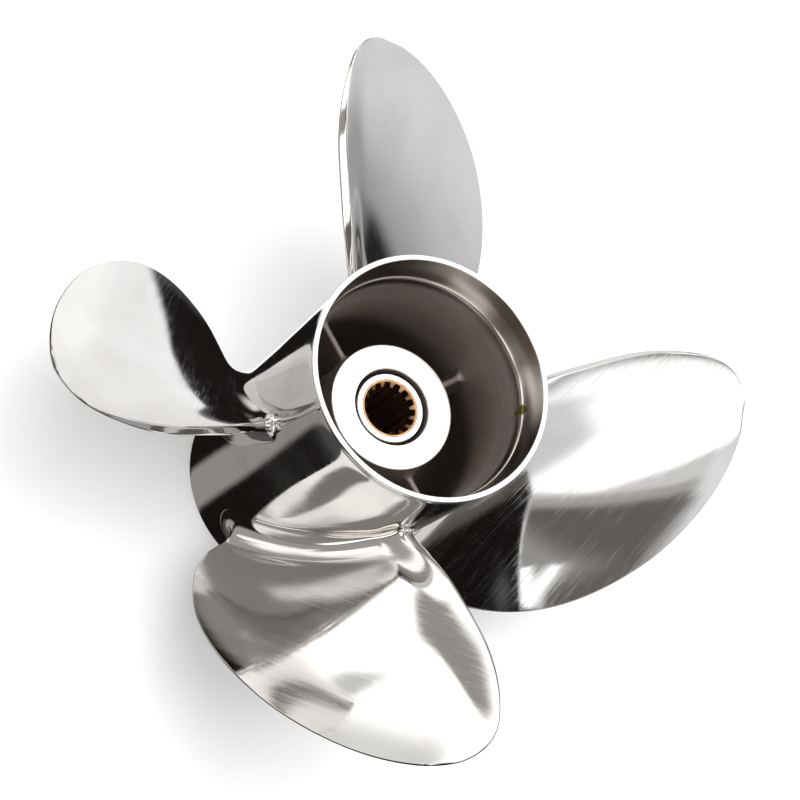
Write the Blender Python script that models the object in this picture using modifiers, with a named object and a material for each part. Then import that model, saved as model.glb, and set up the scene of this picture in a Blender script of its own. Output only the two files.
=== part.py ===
"""Four-bladed outboard boat propeller with a through-hub exhaust barrel.

The shaft axis is +Z, pointing aft. The origin is the centre of the barrel's
front face, the end that meets the gearcase, so the propeller stands on that
face. The ribs lie on the diagonals between the X and Y axes.
Lengths are in metres and angles in degrees unless a name says otherwise.
"""
import math

import bmesh
import bpy
from mathutils import Matrix, Vector

SEAT_GAP = 0.0003
MERGE_DISTANCE = 0.00001

# Barrel, the outer tube that carries the blades
BARREL_LENGTH = 0.1660
BARREL_BORE_RADIUS = 0.0530
BARREL_OUTER_STATIONS = (   # height above the front face, outer radius
    (0.0000, 0.0552),
    (0.0034, 0.0552),
    (0.0038, 0.0557),
    (0.0250, 0.0554),
    (0.0450, 0.0553),
    (0.0650, 0.0556),
    (0.0850, 0.0561),
    (0.1050, 0.0568),
    (0.1250, 0.0575),
    (0.1500, 0.0585),
    (0.1600, 0.0593),
    (0.1652, 0.0603),
)
RIM_RADIUS = 0.0603
RIM_INNER_RADIUS = 0.0576
RIM_EDGE_ROUND = 0.0008
MOUTH_STEP_HEIGHT = 0.1495
MOUTH_STEP_RADIUS = 0.0555
MOUTH_STEP_DEPTH = 0.0006
FLARE_FOOT_HEIGHT = 0.1400
FLARE_FOOT_RADIUS = 0.0544
FLARE_FOOT_DROP = 0.0040
BARREL_SEGMENTS = 72

# Blades
BLADE_COUNT = 4
TIP_RADIUS = 0.1778
BLADE_REFERENCE_ANGLE = 114.5
BLADE_ROOT_RADIUS = 0.0520
BLADE_EDGE_STATIONS = (   # radius, leading and trailing edge past the reference line
    (0.0520, -54.5, -1.2),
    (0.0772, -57.9, 3.9),
    (0.1024, -54.0, 5.1),
    (0.1274, -46.3, 4.9),
    (0.1526, -33.0, 2.8),
    (0.1690, -20.8, -0.2),
    (0.1778, -6.8, -6.8),
)
ROOT_HEIGHT = 0.1053
RAKE_LINEAR = 0.0580
RAKE_SQUARE = 0.0043
RAKE_CUBE = -0.0076
PITCH = 0.614
LEADING_EDGE_LIFT = 0.0132
CUP_DEPTH = 0.0018
CUP_START = 0.86
ROOT_THICKNESS = 0.0095
TIP_THICKNESS = 0.0026
THICKEST_CHORD = 0.62
LEADING_EDGE_THICKNESS = 0.0012
TRAILING_EDGE_THICKNESS = 0.0050
FILLET_RADIUS = 0.0120
FILLET_HEIGHTS = (0.0, 0.0008, 0.0032, 0.0072, 0.0120)
FILLET_END_STRETCH = 1.15
SPAN_STATIONS = (0.11, 0.165, 0.23, 0.32, 0.42, 0.52, 0.62, 0.71, 0.79, 0.86, 0.92, 0.965, 0.99)
CHORD_SEGMENTS = 14
FOOT_STRIPS = 5

# Inner hub and the ribs that hold it in the barrel
HUB_OUTER_RADIUS = 0.03125
HUB_BORE_RADIUS = 0.0255
HUB_MOUTH_RADIUS = 0.0189
HUB_FRONT = 0.0060
HUB_AFT = 0.1212
HUB_LIP = 0.0090
HUB_EDGE_ROUND = 0.0010
HUB_SEGMENTS = 56
RIB_COUNT = 4
RIB_FIRST_ANGLE = 45.0
RIB_THICKNESS = 0.0032
RIB_FRONT = 0.0100
RIB_AFT = 0.1040
RIB_EDGE_ROUND = 0.0012

# Drive sleeve set pressed into the inner hub
SLEEVE_FRONT = 0.0100
SLEEVE_AFT = 0.1192
SLEEVE_RING_RADIUS = 0.01725
BRASS_RADIUS = 0.0143
BRASS_MOUTH_RADIUS = 0.0134
SPLINE_TOOTH_COUNT = 15
SPLINE_ROOT_RADIUS = 0.0130
SPLINE_TIP_RADIUS = 0.0112
SPLINE_LEAD_IN = 0.0018
SLEEVE_EDGE_ROUND = 0.0005
BUSHING_FRONT = 0.0130
POINTS_PER_TOOTH = 4

POLISHED_STEEL = ("polished_steel", (0.72, 0.71, 0.70), 0.12, 1.0)
SATIN_STEEL = ("satin_steel", (0.42, 0.39, 0.37), 0.38, 1.0)
SLEEVE_STEEL = ("sleeve_steel", (0.78, 0.78, 0.77), 0.25, 1.0)
BRASS = ("brass", (0.76, 0.47, 0.20), 0.30, 1.0)
RUBBER = ("rubber", (0.02, 0.02, 0.02), 0.75, 0.0)


def clear_scene():
    for old in list(bpy.data.objects):
        bpy.data.objects.remove(old, do_unlink=True)


def new_collection(name):
    collection = bpy.data.collections.new(name)
    bpy.context.scene.collection.children.link(collection)
    return collection


def material(finish):
    name, colour, roughness, metallic = finish
    found = bpy.data.materials.get(name)
    if found:
        return found
    made = bpy.data.materials.new(name)
    made.use_nodes = True
    shader = made.node_tree.nodes["Principled BSDF"]
    shader.inputs["Base Color"].default_value = (*colour, 1.0)
    shader.inputs["Roughness"].default_value = roughness
    shader.inputs["Metallic"].default_value = metallic
    return made


def add_object(collection, name, mesh_builder, finish):
    """Make one object from a bmesh and give it its material and smooth shading."""
    mesh = bpy.data.meshes.new(name)
    mesh_builder.to_mesh(mesh)
    mesh_builder.free()
    mesh.shade_smooth()
    mesh.set_sharp_from_angle(angle=math.radians(35))
    obj = bpy.data.objects.new(name, mesh)
    obj.data.materials.append(material(finish))
    collection.objects.link(obj)
    return obj


def turned(collection, name, profile, segments, finish):
    """Turn a closed profile of (radius, height) points about the shaft axis.

    The profile runs down its outer side, from top to bottom, and back up inside.
    """
    builder = bmesh.new()
    corners = [builder.verts.new((radius, 0.0, height)) for radius, height in profile]
    for start, end in zip(corners, corners[1:] + corners[:1]):
        builder.edges.new((start, end))
    obj = add_object(collection, name, builder, finish)
    screw = obj.modifiers.new("Turn", "SCREW")
    screw.steps = segments
    screw.render_steps = segments
    screw.use_merge_vertices = True
    screw.merge_threshold = MERGE_DISTANCE
    screw.use_smooth_shade = True
    return obj


def smooth_through(stations, x, column):
    """Value at x of a smooth curve through the stations, whose first item is x."""
    last = len(stations) - 1
    x = min(max(x, stations[0][0]), stations[last][0])
    i = max(k for k in range(last) if stations[k][0] <= x)

    def slope(k):
        low, high = max(k - 1, 0), min(k + 1, last)
        rise = stations[high][column] - stations[low][column]
        return rise / (stations[high][0] - stations[low][0])

    x0, x1 = stations[i][0], stations[i + 1][0]
    y0, y1 = stations[i][column], stations[i + 1][column]
    width = x1 - x0
    t = (x - x0) / width
    return (y0 * (1 + 2 * t) * (1 - t) ** 2 + y1 * t * t * (3 - 2 * t)
            + width * (slope(i) * t * (1 - t) ** 2 - slope(i + 1) * t * t * (1 - t)))


def ramp(x):
    x = min(max(x, 0.0), 1.0)
    return x * x * (3 - 2 * x)


def barrel_radius(height):
    """Outer radius of the barrel, straight between its stations."""
    stations = BARREL_OUTER_STATIONS
    height = min(max(height, stations[0][0]), stations[-1][0])
    for (z0, r0), (z1, r1) in zip(stations, stations[1:]):
        if height <= z1:
            return r0 + (r1 - r0) * (height - z0) / (z1 - z0)
    return stations[-1][1]


def make_barrel(collection):
    outer = [(radius, height) for height, radius in reversed(BARREL_OUTER_STATIONS)]
    rim = [
        (RIM_INNER_RADIUS + RIM_EDGE_ROUND, BARREL_LENGTH),
        (RIM_RADIUS - RIM_EDGE_ROUND, BARREL_LENGTH),
    ]
    bore = [
        (BARREL_BORE_RADIUS, 0.0),
        (BARREL_BORE_RADIUS, FLARE_FOOT_HEIGHT - FLARE_FOOT_DROP),
        (FLARE_FOOT_RADIUS, FLARE_FOOT_HEIGHT),
        (MOUTH_STEP_RADIUS - MOUTH_STEP_DEPTH, MOUTH_STEP_HEIGHT - MOUTH_STEP_DEPTH),
        (MOUTH_STEP_RADIUS, MOUTH_STEP_HEIGHT),
        (RIM_INNER_RADIUS, BARREL_LENGTH - RIM_EDGE_ROUND),
    ]
    return turned(collection, "barrel", rim + outer + bore, BARREL_SEGMENTS, POLISHED_STEEL)


def span_fraction(radius):
    return min(max((radius - BLADE_ROOT_RADIUS) / (TIP_RADIUS - BLADE_ROOT_RADIUS), 0.0), 1.0)


def tip_roundness(span):
    """Runs from 0 at the root to 1 at the tip, fast near the tip so that it ends round."""
    return math.asin(span) / (math.pi / 2)


def edge_angle(span, column):
    rounded = [(tip_roundness(span_fraction(row[0])), row[1], row[2])
               for row in BLADE_EDGE_STATIONS]
    return smooth_through(rounded, tip_roundness(span), column)


def face_point(radius, chord):
    """Point of the pressure face, chord 0 at the leading edge and 1 at the trailing edge."""
    span = span_fraction(radius)
    lead, trail = edge_angle(span, 1), edge_angle(span, 2)
    angle = lead + (trail - lead) * chord
    rake = ROOT_HEIGHT + RAKE_LINEAR * span + RAKE_SQUARE * span ** 2 + RAKE_CUBE * span ** 3
    lift = LEADING_EDGE_LIFT * (1 - tip_roundness(span)) * (1 - chord) ** 2
    cup = CUP_DEPTH * ramp(chord / 0.5) * (1 - ramp((chord - CUP_START) / (1 - CUP_START)))
    height = rake + PITCH * angle / 360 + lift - cup * (1 - span ** 2)
    turn = math.radians(BLADE_REFERENCE_ANGLE + angle)
    return Vector((radius * math.cos(turn), radius * math.sin(turn), height))


def face_frame(radius, chord):
    """Unit vectors of the face at a point: along the chord, and out of it towards aft."""
    step = 0.02
    low, high = max(chord - step, 0.0), min(chord + step, 1.0)
    along = (face_point(radius, high) - face_point(radius, low)).normalized()
    out = face_point(radius + 0.001, chord) - face_point(radius - 0.001, chord)
    normal = out.cross(along).normalized()
    if normal.z < 0:
        normal = -normal
    return along, normal


def thickness(span, chord):
    thickest = ROOT_THICKNESS + (TIP_THICKNESS - ROOT_THICKNESS) * span ** 0.8
    trailing = TRAILING_EDGE_THICKNESS * (1 - ramp((span - 0.55) / 0.45) * 0.75)
    if chord < THICKEST_CHORD:
        rise = math.sin(chord / THICKEST_CHORD * math.pi / 2)
        return LEADING_EDGE_THICKNESS + (thickest - LEADING_EDGE_THICKNESS) * rise
    fall = math.cos((chord - THICKEST_CHORD) / (1 - THICKEST_CHORD) * math.pi / 2)
    trailing = min(trailing, thickest)
    return trailing + (thickest - trailing) * fall


def chord_stations():
    return [(1 - math.cos(math.pi * j / CHORD_SEGMENTS)) / 2 for j in range(CHORD_SEGMENTS + 1)]


def section(radius):
    """Closed loop of a section: the pressure face aftward, then the back the other way."""
    span = span_fraction(radius)
    face, back = [], []
    for chord in chord_stations():
        point = face_point(radius, chord)
        normal = face_frame(radius, chord)[1]
        face.append(point)
        back.append(point - normal * thickness(span, chord))
    return face + back[::-1]


def on_barrel(point, height):
    """The point moved in or out until it lies at a height above its seat on the barrel."""
    stretch = (barrel_radius(point.z) + SEAT_GAP + height) / math.hypot(point.x, point.y)
    return Vector((point.x * stretch, point.y * stretch, point.z))


def foot_section(height):
    """Section that follows the barrel at a height above it and spreads into the fillet."""
    loop = []
    rise = min(height, FILLET_RADIUS)
    spread = FILLET_RADIUS - math.sqrt(FILLET_RADIUS ** 2 - (FILLET_RADIUS - rise) ** 2)
    radius = barrel_radius(ROOT_HEIGHT / 2) + SEAT_GAP + height
    span = span_fraction(radius)
    sides = [(chord, 1) for chord in chord_stations()]
    sides += [(chord, -1) for chord in reversed(chord_stations())]
    for chord, side in sides:
        along, normal = face_frame(radius, chord)
        point = face_point(radius, chord)
        if side < 0:
            point -= normal * thickness(span, chord)
        end = (2 * chord - 1) ** 3
        sideways = normal * side * math.sqrt(1 - 0.7 * end * end)
        point += (sideways + along * end * FILLET_END_STRETCH) * spread
        loop.append(on_barrel(point, height))
    return loop


def make_blade(collection, number):
    """Loft one blade from its foot on the barrel to its round tip."""
    loops = [foot_section(height) for height in FILLET_HEIGHTS]
    foot_top = barrel_radius(ROOT_HEIGHT) + FILLET_RADIUS
    for station in SPAN_STATIONS:
        span = math.sin(station * math.pi / 2)
        radius = BLADE_ROOT_RADIUS + span * (TIP_RADIUS - BLADE_ROOT_RADIUS)
        if radius > foot_top:
            loops.append(section(radius))
    builder = bmesh.new()
    rings = [[builder.verts.new(point) for point in loop] for loop in loops]
    count = len(rings[0])
    for lower, upper in zip(rings, rings[1:]):
        for i in range(count):
            j = (i + 1) % count
            builder.faces.new((lower[i], lower[j], upper[j], upper[i]))
    tip, foot = rings[-1], rings[0]
    for i in range(count // 2 - 1):
        builder.faces.new((tip[i], tip[i + 1], tip[count - 2 - i], tip[count - 1 - i]))
    strips = []
    for i in range(count // 2):
        start, end = foot[i], foot[count - 1 - i]
        between = [start.co.lerp(end.co, step / FOOT_STRIPS) for step in range(1, FOOT_STRIPS)]
        strips.append([start, *(builder.verts.new(on_barrel(p, 0.0)) for p in between), end])
    for left, right in zip(strips, strips[1:]):
        for k in range(FOOT_STRIPS):
            builder.faces.new((left[k], left[k + 1], right[k + 1], right[k]))
    for strip in (strips[0], strips[-1]):
        builder.faces.new(strip)
    bmesh.ops.recalc_face_normals(builder, faces=builder.faces)
    turn = Matrix.Rotation(math.tau * (number - 1) / BLADE_COUNT, 3, "Z")
    bmesh.ops.rotate(builder, verts=builder.verts, cent=(0, 0, 0), matrix=turn)
    return add_object(collection, f"blade_{number}", builder, POLISHED_STEEL)


def make_inner_hub(collection):
    lip_bottom = HUB_AFT - HUB_LIP
    profile = [
        (HUB_OUTER_RADIUS - HUB_EDGE_ROUND, HUB_AFT),
        (HUB_OUTER_RADIUS, HUB_AFT - HUB_EDGE_ROUND),
        (HUB_OUTER_RADIUS, HUB_FRONT + HUB_EDGE_ROUND),
        (HUB_OUTER_RADIUS - HUB_EDGE_ROUND, HUB_FRONT),
        (HUB_BORE_RADIUS + HUB_EDGE_ROUND, HUB_FRONT),
        (HUB_BORE_RADIUS, HUB_FRONT + HUB_EDGE_ROUND),
        (HUB_BORE_RADIUS, lip_bottom),
        (HUB_MOUTH_RADIUS, lip_bottom),
        (HUB_MOUTH_RADIUS, HUB_AFT - HUB_EDGE_ROUND / 2),
        (HUB_MOUTH_RADIUS + HUB_EDGE_ROUND / 2, HUB_AFT),
    ]
    return turned(collection, "inner_hub", profile, HUB_SEGMENTS, SATIN_STEEL)


def make_rib(collection, number):
    """One web from the inner hub to the barrel's bore, rounded along its open edges."""
    inner = HUB_OUTER_RADIUS + SEAT_GAP
    outer = BARREL_BORE_RADIUS - SEAT_GAP
    size = Vector((outer - inner, RIB_THICKNESS, RIB_AFT - RIB_FRONT))
    middle = Vector(((inner + outer) / 2, 0.0, (RIB_FRONT + RIB_AFT) / 2))
    builder = bmesh.new()
    bmesh.ops.create_cube(builder, size=1.0)
    bmesh.ops.transform(builder, verts=builder.verts,
                        matrix=Matrix.Translation(middle) @ Matrix.Diagonal((*size, 1.0)))
    open_edges = [edge for edge in builder.edges
                  if abs(edge.verts[0].co.x - edge.verts[1].co.x) > size.x / 2]
    bmesh.ops.bevel(builder, geom=open_edges, offset=RIB_EDGE_ROUND, segments=2,
                    profile=0.5, affect="EDGES", material=-1)
    angle = math.radians(RIB_FIRST_ANGLE) + math.tau * (number - 1) / RIB_COUNT
    bmesh.ops.rotate(builder, verts=builder.verts, cent=(0, 0, 0),
                     matrix=Matrix.Rotation(angle, 3, "Z"))
    return add_object(collection, f"rib_{number}", builder, SATIN_STEEL)


def make_bushing(collection):
    inner = SLEEVE_RING_RADIUS + SEAT_GAP
    outer = HUB_BORE_RADIUS - SEAT_GAP
    top = HUB_AFT - HUB_LIP - SEAT_GAP
    profile = [(outer, top), (outer, BUSHING_FRONT), (inner, BUSHING_FRONT), (inner, top)]
    return turned(collection, "rubber_bushing", profile, HUB_SEGMENTS, RUBBER)


def make_sleeve_ring(collection):
    inner = BRASS_RADIUS + SEAT_GAP
    outer = SLEEVE_RING_RADIUS
    profile = [
        (outer - SLEEVE_EDGE_ROUND, SLEEVE_AFT),
        (outer, SLEEVE_AFT - SLEEVE_EDGE_ROUND),
        (outer, SLEEVE_FRONT + SLEEVE_EDGE_ROUND),
        (outer - SLEEVE_EDGE_ROUND, SLEEVE_FRONT),
        (inner, SLEEVE_FRONT),
        (inner, SLEEVE_AFT),
    ]
    return turned(collection, "sleeve_ring", profile, HUB_SEGMENTS, SLEEVE_STEEL)


def make_spline_cutter(collection):
    """Core with the shape of the splined shaft, which the brass sleeve is cut by."""
    points = SPLINE_TOOTH_COUNT * POINTS_PER_TOOTH
    builder = bmesh.new()
    bmesh.ops.create_circle(builder, cap_ends=True, segments=points, radius=SPLINE_TIP_RADIUS)
    for vert in builder.verts:
        angle = math.atan2(vert.co.y, vert.co.x) % math.tau
        place = round(angle / math.tau * points) % POINTS_PER_TOOTH
        if place in (1, 2):
            vert.co *= SPLINE_ROOT_RADIUS / SPLINE_TIP_RADIUS
    below = Vector((0, 0, SLEEVE_FRONT - SLEEVE_EDGE_ROUND * 4))
    bmesh.ops.translate(builder, verts=builder.verts, vec=below)
    grown = bmesh.ops.extrude_face_region(builder, geom=list(builder.faces))
    top = [item for item in grown["geom"] if isinstance(item, bmesh.types.BMVert)]
    length = SLEEVE_AFT - SLEEVE_FRONT + SLEEVE_EDGE_ROUND * 8
    bmesh.ops.translate(builder, verts=top, vec=(0, 0, length))
    bmesh.ops.recalc_face_normals(builder, faces=builder.faces)
    cutter = add_object(collection, "spline_core", builder, BRASS)
    cutter.hide_render = True
    cutter.display_type = "WIRE"
    return cutter


def make_spline_sleeve(collection, cutter):
    bore = SPLINE_TIP_RADIUS - SPLINE_LEAD_IN / 4
    mouth = BRASS_MOUTH_RADIUS
    profile = [
        (BRASS_RADIUS, SLEEVE_AFT),
        (BRASS_RADIUS, SLEEVE_FRONT),
        (mouth, SLEEVE_FRONT),
        (bore, SLEEVE_FRONT + SPLINE_LEAD_IN),
        (bore, SLEEVE_AFT - SPLINE_LEAD_IN),
        (mouth, SLEEVE_AFT),
    ]
    sleeve = turned(collection, "spline_sleeve", profile,
                    SPLINE_TOOTH_COUNT * POINTS_PER_TOOTH, BRASS)
    cut = sleeve.modifiers.new("Splines", "BOOLEAN")
    cut.operation = "DIFFERENCE"
    cut.solver = "EXACT"
    cut.object = cutter
    return sleeve


def main():
    clear_scene()
    propeller = new_collection("outboard_propeller")
    cutters = new_collection("cutters")
    make_barrel(propeller)
    for number in range(1, BLADE_COUNT + 1):
        make_blade(propeller, number)
    make_inner_hub(propeller)
    for number in range(1, RIB_COUNT + 1):
        make_rib(propeller, number)
    make_bushing(propeller)
    make_sleeve_ring(propeller)
    make_spline_sleeve(propeller, make_spline_cutter(cutters))


main()
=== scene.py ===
# %% [markdown]
# # A polished outboard propeller
# The propeller stands on the front end of its exhaust barrel, with the shaft axis along +Z and the flared rim
# on top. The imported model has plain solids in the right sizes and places. This lesson puts the finished metal
# over them: turned parts come from spun profiles, and the blades from a flat grid that is wrapped around a
# blade's section.

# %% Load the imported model
import math

import bmesh
import bpy
from mathutils import Matrix, Vector


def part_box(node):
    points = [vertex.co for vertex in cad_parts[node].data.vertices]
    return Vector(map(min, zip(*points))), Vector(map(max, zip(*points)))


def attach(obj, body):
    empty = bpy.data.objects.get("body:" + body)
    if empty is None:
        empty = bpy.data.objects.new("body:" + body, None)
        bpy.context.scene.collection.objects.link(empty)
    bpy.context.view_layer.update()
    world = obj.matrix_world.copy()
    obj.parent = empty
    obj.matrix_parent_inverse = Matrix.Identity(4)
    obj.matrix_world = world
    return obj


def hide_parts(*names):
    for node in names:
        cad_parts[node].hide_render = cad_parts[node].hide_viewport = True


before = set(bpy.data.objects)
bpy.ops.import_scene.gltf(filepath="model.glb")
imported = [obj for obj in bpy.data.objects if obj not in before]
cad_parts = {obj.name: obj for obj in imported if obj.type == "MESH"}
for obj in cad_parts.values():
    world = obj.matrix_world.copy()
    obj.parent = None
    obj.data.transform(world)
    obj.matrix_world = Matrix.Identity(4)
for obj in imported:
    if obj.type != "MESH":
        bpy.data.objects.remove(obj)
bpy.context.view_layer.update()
print("nodes:", sorted(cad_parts))

# %% [markdown]
# ## Sizes
# The frame already knows how long the barrel is and how wide its rim is, so those are read from it. What a
# box can't tell, such as the run of the blades' edges, is stated here the way a propeller drawing gives it:
# as angles past a reference line, for a few radii.

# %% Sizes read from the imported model
BARREL_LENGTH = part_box("barrel")[1][2]
RIM_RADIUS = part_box("barrel")[1][0]
HUB_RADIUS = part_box("inner_hub")[1][0]
HUB_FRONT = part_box("inner_hub")[0][2]
HUB_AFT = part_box("inner_hub")[1][2]
RING_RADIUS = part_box("sleeve_ring")[1][0]
SLEEVE_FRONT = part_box("sleeve_ring")[0][2]
SLEEVE_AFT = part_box("sleeve_ring")[1][2]
BRASS_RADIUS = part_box("spline_sleeve")[1][0]
BUSHING_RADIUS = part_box("rubber_bushing")[1][0]
BUSHING_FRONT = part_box("rubber_bushing")[0][2]
BUSHING_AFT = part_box("rubber_bushing")[1][2]
RIB_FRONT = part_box("rib_1")[0][2]
RIB_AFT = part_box("rib_1")[1][2]
print("barrel length, rim radius in mm:", round(1000 * BARREL_LENGTH, 1), round(1000 * RIM_RADIUS, 2))

# %% Sizes stated as on a drawing
BARREL_STATIONS = (   # height, outer radius
    (0.0038, 0.0557), (0.0250, 0.0554), (0.0450, 0.0553), (0.0650, 0.0556), (0.0850, 0.0561),
    (0.1050, 0.0568), (0.1250, 0.0575), (0.1500, 0.0585), (0.1600, 0.0593), (0.1652, 0.0603),
)
BORE_RADIUS = 0.0530
FRONT_LIP_RADIUS = 0.0552
BLADE_COUNT = 4
TIP_RADIUS = 0.1776
ROOT_RADIUS = 0.0520
REFERENCE_ANGLE = 114.5
EDGE_STATIONS = (   # radius, leading edge and trailing edge in degrees past the reference line
    (0.0520, -54.5, -1.2), (0.0772, -57.9, 3.9), (0.1024, -54.0, 5.1), (0.1274, -46.3, 4.9),
    (0.1526, -33.0, 2.8), (0.1690, -20.8, -0.2), (0.1778, -6.8, -6.8),
)
PITCH = 0.614         # how far the blade's face climbs in a full turn
TURNED_STEPS = 288    # straight sides of a full turn


# %% [markdown]
# ## Curves through stations
# A mirror finish shows every kink, so a straight-line table is not smooth enough. A cubic through the same
# stations, with its slope at each one taken from its neighbours, keeps the reflections flowing.

# %% A smooth curve through stations
def smooth_through(stations, x, column=1):
    """The column's value at x, on a cubic through the stations."""
    last = len(stations) - 1
    x = min(max(x, stations[0][0]), stations[last][0])
    i = max(k for k in range(last) if stations[k][0] <= x)

    def slope(k):
        low, high = max(k - 1, 0), min(k + 1, last)
        return (stations[high][column] - stations[low][column]) / (stations[high][0] - stations[low][0])

    width = stations[i + 1][0] - stations[i][0]
    t = (x - stations[i][0]) / width
    y0, y1 = stations[i][column], stations[i + 1][column]
    return (y0 * (1 + 2 * t) * (1 - t) ** 2 + y1 * t * t * (3 - 2 * t)
            + width * (slope(i) * t * (1 - t) ** 2 - slope(i + 1) * t * t * (1 - t)))


def ramp(x):
    """Rises from 0 to 1 as x does, level at both ends."""
    x = min(max(x, 0.0), 1.0)
    return x * x * (3 - 2 * x)


def barrel_radius(height):
    return smooth_through(BARREL_STATIONS, height)


print("barrel radius at mid length in mm:", round(1000 * barrel_radius(BARREL_LENGTH / 2), 2))


# %% Finish a mesh as an object
def finish(builder, name, crease=40):
    mesh = bpy.data.meshes.new(name)
    builder.to_mesh(mesh)
    builder.free()
    mesh.shade_smooth()
    mesh.set_sharp_from_angle(angle=math.radians(crease))
    obj = bpy.data.objects.new(name, mesh)
    bpy.context.scene.collection.objects.link(obj)
    return obj


# %% [markdown]
# ## Turned parts
# Barrel, inner hub, sleeve ring and bushing are bodies of revolution. Each is one closed profile, spun a full
# turn with bmesh.ops.spin. use_merge joins the last step to the first, so that no seam is left in the mirror.

# %% Round the corners of a profile and spin it
def arc(centre, radius, start, end, steps=6):
    """Points of an arc from the start angle to the end angle, in degrees, in a profile's plane."""
    angles = [math.radians(start + (end - start) * k / steps) for k in range(steps + 1)]
    return [(centre[0] + radius * math.cos(a), centre[1] + radius * math.sin(a)) for a in angles]


def held(profile, reach=0.00025, least=0.002):
    """The profile with a point just inside both ends of each long run, so that flat faces shade flat."""
    points = []
    for (r0, z0), (r1, z1) in zip(profile, profile[1:] + profile[:1]):
        points.append((r0, z0))
        length = math.hypot(r1 - r0, z1 - z0)
        if length > least:
            for share in (reach / length, 1 - reach / length):
                points.append((r0 + (r1 - r0) * share, z0 + (z1 - z0) * share))
    return points


def spun(name, profile, steps=TURNED_STEPS, crease=40):
    profile = held(profile)
    builder = bmesh.new()
    verts = [builder.verts.new((radius, 0.0, height)) for radius, height in profile]
    edges = [builder.edges.new(pair) for pair in zip(verts, verts[1:] + verts[:1])]
    bmesh.ops.spin(builder, geom=verts + edges, cent=(0, 0, 0), axis=(0, 0, 1), dvec=(0, 0, 0),
                   angle=math.tau, steps=steps, use_merge=True, use_duplicate=False)
    bmesh.ops.remove_doubles(builder, verts=builder.verts, dist=1e-7)
    bmesh.ops.recalc_face_normals(builder, faces=builder.faces)
    obj = finish(builder, name, crease)
    print(name, "triangles:", sum(len(face.vertices) - 2 for face in obj.data.polygons))
    return obj


# %% The barrel's profile
RIM_WALL = 0.0027
RIM_ROUND = 0.0005
STEP_HEIGHT = 0.1495
STEP_RADIUS = 0.0555
STEP_FOOT_HEIGHT = 0.14789
STEP_FOOT_RADIUS = 0.05453
STEP_ROUND = 0.0020
STEP_HOLLOW = 0.0003
STEP_LEAN = 7         # degrees from the shaft's direction at which the step's round begins
STEP_TURN = 55        # and at which the hollow above it takes over
STEP_TOP = 5          # and at which the hollow ends
FLARE_MIDDLE = (0.1575, 0.0563)
FLARE_FOOT_HEIGHT = 0.1410
FLARE_FOOT_RADIUS = 0.0541
FLARE_FOOT_DROP = 0.0100
LIP_DROP = 0.0003
LIP_EASE = 0.0001
OUTER_POINTS = 90
FOOT_POINTS = 16
FLARE_POINTS = 14


def barrel_profile():
    rim_inner = RIM_RADIUS - RIM_WALL
    top = BARREL_LENGTH
    first, last = BARREL_STATIONS[0][0], BARREL_LENGTH - RIM_ROUND
    heights = [last + (first - last) * k / OUTER_POINTS for k in range(OUTER_POINTS + 1)]
    outside = arc((RIM_RADIUS - RIM_ROUND, top - RIM_ROUND), RIM_ROUND, 90, 10)
    outside += [(barrel_radius(height), height) for height in heights[1:]]
    lip = [(FRONT_LIP_RADIUS + LIP_EASE, first - LIP_DROP), (FRONT_LIP_RADIUS, first - 2 * LIP_DROP)]
    lip += arc((FRONT_LIP_RADIUS - RIM_ROUND, RIM_ROUND), RIM_ROUND, 0, -90)
    bore = arc((BORE_RADIUS + RIM_ROUND, RIM_ROUND), RIM_ROUND, -90, -180)
    mouth_stations = (
        (FLARE_FOOT_HEIGHT - FLARE_FOOT_DROP, BORE_RADIUS),
        (FLARE_FOOT_HEIGHT, FLARE_FOOT_RADIUS),
        (STEP_FOOT_HEIGHT, STEP_FOOT_RADIUS),
    )
    lean, turn = math.radians(STEP_LEAN), math.radians(STEP_TURN)
    middle = (STEP_FOOT_RADIUS + STEP_ROUND * math.cos(lean), STEP_FOOT_HEIGHT - STEP_ROUND * math.sin(lean))
    step = arc(middle, STEP_ROUND, 180 - STEP_LEAN, 180 - STEP_TURN, 10)
    hollow = (step[-1][0] - STEP_HOLLOW * math.cos(turn), step[-1][1] + STEP_HOLLOW * math.sin(turn))
    step += arc(hollow, STEP_HOLLOW, -STEP_TURN, -STEP_TOP)
    start, end = mouth_stations[0][0], mouth_stations[-1][0]
    rises = [start + (end - start) * k / FOOT_POINTS for k in range(FOOT_POINTS)]
    mouth = [(smooth_through(mouth_stations, height), height) for height in rises] + step
    flare = ((STEP_HEIGHT, STEP_RADIUS), FLARE_MIDDLE, (top - RIM_ROUND, rim_inner))
    run = top - RIM_ROUND - STEP_HEIGHT
    rises = [STEP_HEIGHT + run * k / FLARE_POINTS for k in range(FLARE_POINTS + 1)]
    mouth += [(smooth_through(flare, height), height) for height in rises[1:]]
    mouth += arc((rim_inner + RIM_ROUND, top - RIM_ROUND), RIM_ROUND, 180, 90)[1:]
    return outside + lip + bore + mouth


barrel = spun("barrel_skin", barrel_profile(), crease=50)

# %% [markdown]
# ## Inner hub, sleeve ring and rubber
# The inner hub is a thick tube with a lip at its aft end. The lip's face is machined flat. The ring and the
# rubber sit behind it, so the eye sees a thin dark gap between two bright rings.

# %% Inner hub
HUB_BORE_RADIUS = BUSHING_RADIUS + 0.0003
HUB_MOUTH_RADIUS = 0.0189
HUB_LIP = HUB_AFT - BUSHING_AFT - 0.0003
HUB_ROUND = 0.0006
CHAMFER = 0.0004


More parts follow.
